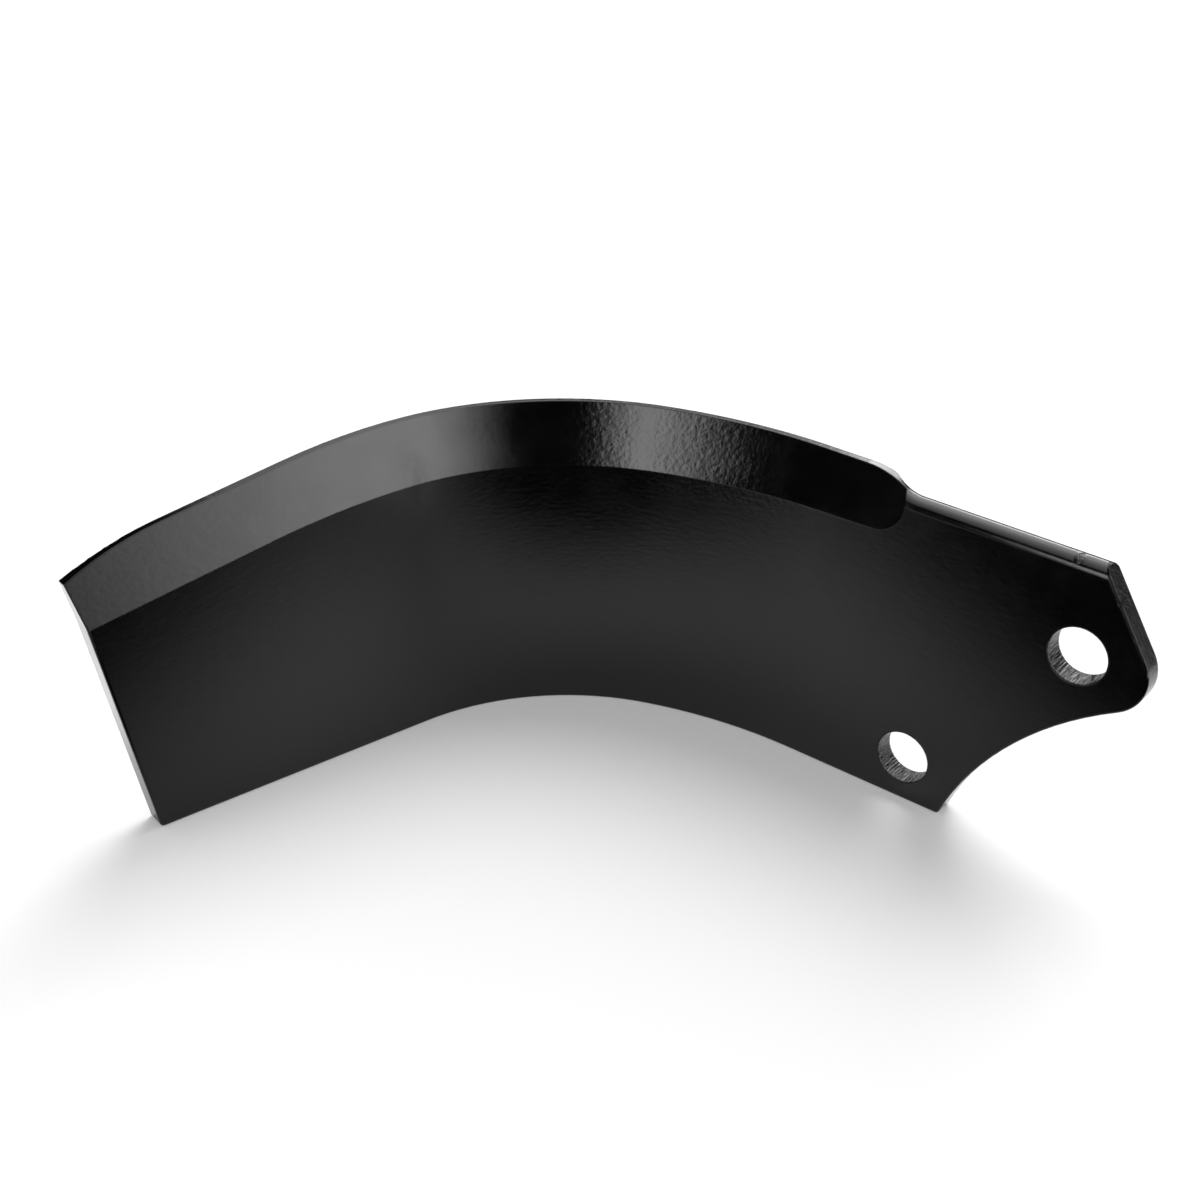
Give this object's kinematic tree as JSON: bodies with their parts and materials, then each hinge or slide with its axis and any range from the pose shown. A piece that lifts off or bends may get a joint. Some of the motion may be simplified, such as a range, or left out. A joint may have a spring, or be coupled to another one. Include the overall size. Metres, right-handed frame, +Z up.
{
  "type": "rotary tiller blade",
  "caption": "L-shaped rotary tiller blade forged from flat bar, with a wide bend, a bevelled cutting edge along the top and round bolt holes at the hub end.",
  "frame": {"origin": "where the axis of the upper bolt hole leaves the flat back of the shank", "axes": "+X along the straight edge toward the hub end, +Y out of the convex back along the bolt holes, +Z up across the bar from the straight edge to the cutting edge"},
  "size_m": [0.186, 0.1449, 0.0844],
  "materials": {
    "black_paint": "semi-gloss black paint over forged steel"
  },
  "bodies": {
    "root": {"blade": "black_paint"}
  },
  "joints": []
}
